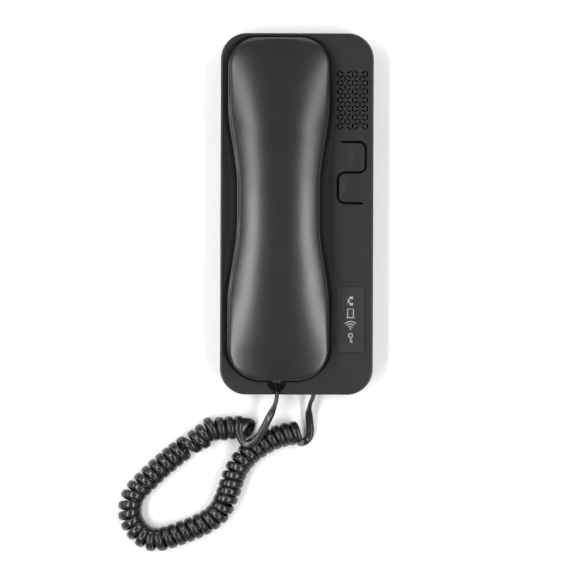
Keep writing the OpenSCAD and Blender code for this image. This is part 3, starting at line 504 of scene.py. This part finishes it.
def cover():
    """The cover: a rounded slab, hollowed from behind, with its wells' walls put back and openings cut."""
    mesh = mesh_of("cover", *rounded_slab(base_outline, 0, BASE_T, FOOT_EDGE, FACE_EDGE))
    inside = round_rect(0, 0, BASE_W - 2 * WALL_T, BASE_L - 2 * WALL_T, CORNER_R - WALL_T)
    mesh = worked(mesh, prism(inside, -1, CEILING_Z), "DIFFERENCE")
    well_walls = [prism(circle(HANDSET_X, y, r + WELL_WALL), WELL_Z - WELL_WALL, WALL_TOP)
                  for y, r in ((EAR_Y, EAR_WELL_R), (MOUTH_Y, MOUTH_WELL_R))]
    jack_house = prism(round_rect(JACK_X, HOUSE_Y, HOUSE_W, HOUSE_L, 0.5, 3), POCKET_Z - HOUSE_WALL, WALL_TOP)
    for wall in (*well_walls, jack_house):
        mesh = worked(mesh, wall, "UNION")
    for opening in openings():
        mesh = worked(mesh, opening, "DIFFERENCE")
    mesh.shade_smooth()
    mesh.set_sharp_from_angle(angle=np.radians(30))
    size = np.empty(len(mesh.polygons))
    mesh.polygons.foreach_get("area", size)
    mesh.polygons.foreach_set("use_smooth", size < LARGE_FACE * MM * MM)
    return mesh


front = add("cover", cover())
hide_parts("front_cover")
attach(front, "base")


# ---- Handset ----

def seam(y):
    """Height of the seam between the shells: a circle's arc of radius SEAM_R, highest in the middle."""
    return SEAM_Z - SEAM_R + np.sqrt(SEAM_R ** 2 - (y - SEAM_MID_Y) ** 2)


def crown(y):
    """Height of the shell along its middle: it falls as the square of the way from the middle."""
    return CROWN_Z - CROWN_DROP * ((y - SEAM_MID_Y) / CROWN_REACH) ** 2


def dome(inset, drop, across=72):
    """Rows of a dome over the handset's outline. Across it the height falls from the crown by a power of the
    way to the side, and ends above the seam, on top of an upright wall; that fall shrinks towards both ends.
    Superellipses of high power round the edge between the dome and the wall."""
    side_power, end_power, end_round, above_rim = 40, 26, 12.0, 0.05
    y, half = half_rows(inset, inset, corner=44, straight=110)
    u = -np.cos(np.linspace(0, np.pi, across))
    away = np.minimum(HANDSET_TOP - inset - y, y - HANDSET_BOTTOM - inset).clip(0)
    side = (1 - np.abs(u) ** side_power).clip(0) ** (1 / side_power)
    end = (1 - (1 - away / end_round).clip(0) ** end_power).clip(0) ** (1 / end_power)
    side[[1, -2]] = end[[1, -2]] = 0.5  # the rows next to the edge lie half way up the wall
    lobe_fall = np.where(y > WAIST_Y, EAR_FALL, MOUTH_FALL)
    fall = WAIST_FALL + (lobe_fall - WAIST_FALL) * lobe_share(y)
    fall *= 1 - END_FALL * (1 - away / END_REACH).clip(0)
    height = (crown(y) - seam(y) - drop)[:, None] - fall[:, None] * np.abs(u) ** FALL_POWER
    z = seam(y)[:, None] + above_rim + height * side * end[:, None]
    x = HANDSET_X + half[:, None] * u
    return np.stack([x + DOME_SHIFT[0], np.broadcast_to(y[:, None], x.shape) + DOME_SHIFT[1], z], -1)


def rim():
    """The inner shell's edge, seen as a chamfered bead round the dome; open below, where the underside lies."""
    loops, inner = [], RIM_W + 0.05
    for inset, lift in ((0.0, 0.0), (0.0, 0.15), (RIM_W, 0.41), (inner, 0.35), (inner, 0.0)):
        loop = handset_loop(inset, inset)
        loops.append(at(loop, seam(loop[:, 1]) + lift))
    points, faces = loft(loops)
    return points, faces[:-2]  # without the faces over the first and last loop


def outer_shell():
    """The outer shell: one dome outside, one inside, and a strip between them along the seam."""
    outside, inside = dome(DOME_INSET, 0), dome(DOME_INSET + SHELL_T, SHELL_T)
    rows, across = outside.shape[:2]
    top = grid_faces(rows, across, False)
    i = np.arange(rows * across).reshape(rows, across)
    edge = np.concatenate([i[0, :-1], i[:-1, -1], i[-1, :0:-1], i[:0:-1, 0]])
    following = np.roll(edge, -1)
    off = rows * across
    strip = np.stack([following, edge, edge + off, following + off], -1)
    body = (np.concatenate([outside.reshape(-1, 3), inside.reshape(-1, 3)]),
            list(top) + list(top[:, ::-1] + off) + list(strip))
    return mesh_of("handset_shell", *joined([body, rim()]), 50)


shell = add("handset_shell", outer_shell())
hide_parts("handset_outer_shell")
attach(shell, "handset")
underside = copy_of("handset_inner_shell", "handset_underside", 0.3)
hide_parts("handset_inner_shell")
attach(underside, "handset")


# ---- Buttons ----

def tongue(hinge, free, middle):
    """A button tongue: its outline closes in ring by ring, first round the edge and then over the face, which
    dips by a Gaussian where the finger presses; below it a stem reaches down to its switch."""
    edge, gap, centre_at, stem_at, stem_r, stem_z = 0.5, 0.12, 5.2, 6.6, 1, 9.55
    dip, dip_at, dip_wide, dip_long = 0.28, 6.4, 3.6, 5.0
    inset = edge * (1 - np.cos(np.linspace(0, np.pi / 2, 6)))
    rise = np.sqrt(edge ** 2 - (edge - inset) ** 2 + 1e-12)
    rows = [at(tongue_loop(hinge, free, middle, 0), BASE_T - TONGUE_T)]
    rows += [at(tongue_loop(hinge, free, middle, -k), BASE_T - edge + z) for k, z in zip(inset, rise)]
    face = tongue_loop(hinge, free, middle, -inset[-1])
    centre = np.array([hinge + free * centre_at, middle])
    for share in (0.94, 0.86, 0.76, 0.64, 0.5, 0.35, 0.2, 0.04):
        loop = centre + share * (face - centre)
        u, v = (loop[:, 0] - hinge - free * dip_at) / dip_wide, (loop[:, 1] - middle) / dip_long
        rows.append(at(loop, BASE_T - dip * np.exp(-u ** 2 - v ** 2)))
    plate = loft(rows)
    plate[0][:, 0] = (np.maximum if free > 0 else np.minimum)(plate[0][:, 0], hinge + free * gap)
    stem = prism(circle(hinge + free * stem_at, middle, stem_r, 32), stem_z, BASE_T - TONGUE_T + 0.2)
    return joined([plate, stem])


for name, hinge, free in (("upper_button", UPPER_HINGE_X, 1), ("lower_button", LOWER_HINGE_X, -1)):
    shape = tongue(hinge, free, TONGUE_MID_Y + free * TONGUE_PITCH / 2)
    piece = add(name + "_tongue", mesh_of(name, *shape, 30))
    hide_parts(name)
    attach(piece, name)


# ---- Label ----

def stroke(points, width=0.5):
    """A flat line of even width along points, as two rows of a strip."""
    p = np.asarray(points, float)
    d = directions(p)
    side = np.column_stack([-d[:, 1], d[:, 0]]) * width / 2
    return np.concatenate([p + side, p - side]), grid_faces(2, len(p), False)[:, ::-1]


def pictograms():
    """Four door-entry signs in a column: a handset, a door, sound that spreads, and a key."""
    handset_sign = [stroke([[-1.1, -2.4], [-1.1, 2.4]], 0.9), stroke([[-1.5, 1.75], [1.3, 1.75]], 1.3),
                    stroke([[-1.5, -1.75], [1.3, -1.75]], 1.3)]
    door = [stroke([[-1.6, -2.4], [-1.6, 2.4], [1.6, 2.4], [1.6, -2.4]]), stroke([[-2.2, -2.4], [2.2, -2.4]]),
            stroke([[0.6, -0.1], [1.0, -0.1]])]
    sound = [stroke(arc(0, -2.0, r, 45, 135, 12)) for r in (1.5, 2.9, 4.3)]
    sound.append(stroke([[-0.35, -1.9], [0.35, -1.9]], 0.7))
    key = [stroke(arc(0, 1.3, 1.1, 0, 360, 25)), stroke([[0, 0.2], [0, -2.6]]),
           stroke([[0, -2.3], [1.2, -2.3]]), stroke([[0, -1.1], [1.0, -1.1]])]
    signs, spacing, ink = (handset_sign, door, sound, key), 6.8, 0.03
    z = box_mm("label_plate")[1][2] + ink
    return joined([(at(p + [LABEL_X, LABEL_Y + spacing * (1.5 - k)], z), f)
                   for k, sign in enumerate(signs) for p, f in sign])


signs = add("label_signs", mesh_of("label_signs", *pictograms()))
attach(signs, "base")


# ---- Finishes ----

class Value:
    """A shader socket in sums and products: each operator adds its Math node."""

    def __init__(self, finish, socket):
        self.finish, self.socket = finish, socket

    def math(self, operation, a, b):
        return self.finish.node("ShaderNodeMath", {"operation": operation}, {0: a, 1: b})

    def __add__(self, other):
        return self.math("ADD", self, other)

    def __sub__(self, other):
        return self.math("SUBTRACT", self, other)

    def __mul__(self, other):
        return self.math("MULTIPLY", self, other)

    __radd__, __rmul__ = __add__, __mul__


class Finish:
    """A material whose colour, roughness and relief are worked out from patterns."""

    def __init__(self, name, **constants):
        self.material = bpy.data.materials.new(name)
        self.material.use_nodes = True
        self.tree = self.material.node_tree
        self.shader = self.tree.nodes["Principled BSDF"]
        self.place = self.node("ShaderNodeTexCoord", {}, {}, "Object")
        for name, value in constants.items():
            self.shader.inputs[name.replace("_", " ")].default_value = value

    def node(self, kind, settings, values, output=0):
        """Any node: its settings first, then the values or links of its sockets; gives one of its outputs."""
        made = self.tree.nodes.new(kind)
        for key, value in settings.items():
            setattr(made, key, value)
        for key, value in values.items():
            self.feed(made.inputs[key], value)
        return Value(self, made.outputs[output])

    def feed(self, socket, value):
        """Links a worked-out value to a socket, or sets the socket to a constant."""
        if isinstance(value, Value):
            self.tree.links.new(value.socket, socket)
        else:
            socket.default_value = value

    def noise(self, size, detail=2.0, stretch=(1, 1, 1)):
        """Soft random values about 0.5, of a size in millimetres, stretched along the axes."""
        place = self.node("ShaderNodeMapping", {}, {"Vector": self.place, "Scale": [1 / k for k in stretch]})
        scale = 1 / (size * MM)
        return self.node("ShaderNodeTexNoise", {}, {"Vector": place, "Scale": scale, "Detail": detail})

    def steps(self, value, low, high):
        """0 below low, 1 above high and a straight rise between."""
        return self.node("ShaderNodeMapRange", {}, {"Value": value, "From Min": low, "From Max": high})

    def mix(self, share, a, b):
        """A colour between a and b by the share of b."""
        return self.node("ShaderNodeMix", {"data_type": "RGBA"}, {0: share, 6: (*a, 1), 7: (*b, 1)}, 2)

    def relief(self, height, depth):
        """Tilts the normal by a height pattern of a depth in millimetres."""
        self.feed(self.shader.inputs["Normal"], self.node("ShaderNodeBump", {}, {
            "Height": height, "Strength": 1.0, "Distance": depth * MM}))

    def show(self, colour, roughness):
        """Gives the shader its colour and roughness; the material is then done."""
        self.feed(self.shader.inputs["Base Color"], colour)
        self.feed(self.shader.inputs["Roughness"], roughness)
        return self.material


def shade(colour, by):
    """A colour made darker or lighter by a factor."""
    return tuple(c * by for c in colour)


def moulding(name, colour, roughness, grain=0.35, depth=0.02, **constants):
    """Moulded plastic: eroded grain, faint flow clouds in its colour, and smudges that shine a little more."""
    f = Finish(name, **constants)
    fine, cloud, smudge = f.noise(grain, 3.0), f.noise(22, 3.0), f.noise(9, 4.0)
    f.relief(fine, depth)
    worn = f.steps(smudge, 0.4, 0.8)
    return f.show(f.mix(f.steps(cloud + fine * 0.35, 0.45, 0.95), shade(colour, 0.88), shade(colour, 1.14)),
                  roughness + 0.05 * fine - 0.03 * worn)


def jacket(name, colour, roughness):
    """Extruded vinyl: faint draw marks, dust-fine pits and patches of polish."""
    f = Finish(name, Specular_IOR_Level=0.55)
    fine, patch = f.noise(0.5, 3.0), f.noise(6, 2.0)
    f.relief(fine, 0.02)
    return f.show(f.mix(patch, shade(colour, 0.8), shade(colour, 1.25)),
                  roughness + 0.12 * f.steps(patch, 0.4, 0.7))


def plated(name, colour, roughness):
    """Plated or pressed steel: drawn lines, grey clouds and small dull spots."""
    f = Finish(name, Metallic=1.0)
    drawn, cloud, spot = f.noise(0.25, 2.0, (12, 1, 1)), f.noise(3, 3.0), f.noise(1.1, 2.0)
    f.relief(drawn, 0.01)
    return f.show(f.mix(cloud, shade(colour, 0.8), shade(colour, 1.1)),
                  roughness + 0.2 * f.steps(spot, 0.55, 0.75))


def cloth(name, colour):
    """Acoustic cloth: two crossed sets of threads, raised where they pass over."""
    f = Finish(name)
    threads = [f.node("ShaderNodeTexWave", {"bands_direction": axis, "wave_profile": "SIN"}, {
        "Vector": f.place, "Scale": 1200.0, "Distortion": 0.4}, 1) for axis in ("X", "Y")]
    weave = threads[0] * threads[1]
    f.relief(weave, 0.08)
    return f.show(f.mix(weave, shade(colour, 0.4), shade(colour, 1.6)), 0.9)


def laminate(name, colour):
    """Circuit board: solder mask over copper tracks that run in broken lines along Y."""
    f = Finish(name)
    track = f.steps(f.noise(1.4, 0.0, (1, 14, 1)), 0.54, 0.56)
    f.relief(track, 0.04)
    return f.show(f.mix(track, shade(colour, 0.75), shade(colour, 1.5)), 0.3 + 0.1 * track)


def printed(name, colour):
    """Screen print: light ink, thinner at places."""
    f = Finish(name)
    thin = f.noise(0.8, 3.0)
    f.relief(thin, 0.01)
    return f.show(f.mix(thin, shade(colour, 0.8), shade(colour, 1.1)), 0.45 + 0.1 * thin)


def backdrop():
    """Pale studio floor with the faintest clouds."""
    f = Finish("studio_floor")
    cloud = f.noise(160, 2.0)
    return f.show(f.mix(cloud, (0.90, 0.90, 0.90), (0.93, 0.93, 0.93)), 0.7)


GREY = (0.0118, 0.0113, 0.0140)
finishes = {
    "cover_plastic": moulding("cover_plastic", GREY, 0.27, 0.4, 0.02),
    "handset_plastic": moulding("handset_plastic", GREY, 0.22, 0.5, 0.008),
    "label_film": moulding("label_film", shade(GREY, 1.2), 0.3, 0.25, 0.01),
    "plate_plastic": moulding("plate_plastic", (0.012, 0.012, 0.013), 0.5),
    "cord_jacket": jacket("cord_jacket", (0.012, 0.012, 0.0125), 0.15),
    "clear_plastic": moulding("clear_plastic", (0.34, 0.35, 0.36), 0.22, 2.0, 0.02, Transmission_Weight=0.9),
    "screw_steel": plated("screw_steel", (0.6, 0.6, 0.62), 0.3),
    "speaker_steel": plated("speaker_steel", (0.35, 0.35, 0.36), 0.4),
    "board_laminate": laminate("board_laminate", (0.008, 0.012, 0.01)),
    "terminal_plastic": moulding("terminal_plastic", (0.04, 0.2, 0.08), 0.35),
    "component_plastic": moulding("component_plastic", (0.012, 0.012, 0.012), 0.42),
    "capacitor_sleeve": moulding("capacitor_sleeve", (0.02, 0.03, 0.12), 0.22),
    "plunger_plastic": moulding("plunger_plastic", (0.72, 0.7, 0.64), 0.4),
    "cone_paper": cloth("cone_paper", (0.03, 0.03, 0.03)),
    "mesh_cloth": cloth("mesh_cloth", (0.008, 0.008, 0.008)),
    "soft_rubber": moulding("soft_rubber", (0.014, 0.014, 0.014), 0.75),
    "red_insulation": jacket("red_insulation", (0.4, 0.02, 0.02), 0.3),
    "blue_insulation": jacket("blue_insulation", (0.03, 0.06, 0.3), 0.3),
}


def wear(thing, material):
    """The material becomes the thing's only one."""
    thing.data.materials.clear()
    thing.data.materials.append(material)


for part in frame["record"]["subparts"]:
    wear(frame["nodes"][part["node"]], finishes[part["material_slot"]])
wear(curly, finishes["cord_jacket"])
wear(front, finishes["cover_plastic"])
wear(shell, finishes["handset_plastic"])
wear(underside, finishes["handset_plastic"])
wear(signs, printed("label_ink", (0.34, 0.34, 0.35)))
for name in ("upper_button_tongue", "lower_button_tongue"):
    wear(bpy.data.objects[name], finishes["cover_plastic"])


# ---- Floor and light ----

floor_mesh = bpy.data.meshes.new("floor")
FLOOR_HALF = 3
floor_mesh.from_pydata([(x * FLOOR_HALF, y * FLOOR_HALF, 0) for x, y in ((-1, -1), (1, -1), (1, 1), (-1, 1))],
                       [], [(0, 1, 2, 3)])
floor = add("floor", floor_mesh)
wear(floor, backdrop())


def softbox(name, place, aim, across, along, radiance):
    """A rectangular light that faces a point; its power gives it the stated radiance."""
    data = bpy.data.lights.new(name, "AREA")
    data.shape, data.size, data.size_y = "RECTANGLE", along, across
    data.energy = float(radiance * np.pi * across * along)
    made = add(name, data)
    made.location = place
    made.rotation_euler = (Vector(place) - Vector(aim)).to_track_quat("Z", "Y").to_euler()
    return made


softbox("left_box", (-0.45, -0.33, 0.90), (0, -0.33, 0), 0.20, 0.86, 11.2)
softbox("right_box", (0.45, -0.33, 0.90), (0, -0.33, 0), 0.20, 0.86, 10.4)
softbox("left_far_box", (-0.46, 0.36, 0.90), (0, 0.36, 0), 0.22, 0.52, 7.0)
softbox("right_far_box", (0.46, 0.36, 0.90), (0, 0.36, 0), 0.22, 0.52, 6.2)
softbox("left_low_box", (-1.10, 0.15, 0.60), (0, 0, 0), 0.25, 0.9, 5.0)
softbox("top_low_box", (0.0, 1.25, 0.62), (0, 0.05, 0), 0.3, 1.0, 3.5)
world = bpy.data.worlds.new("world")
bpy.context.scene.world = world
world.use_nodes = True
world.node_tree.nodes["Background"].inputs[0].default_value = (0.29, 0.29, 0.29, 1)
bpy.context.scene.view_settings.view_transform = "Standard"
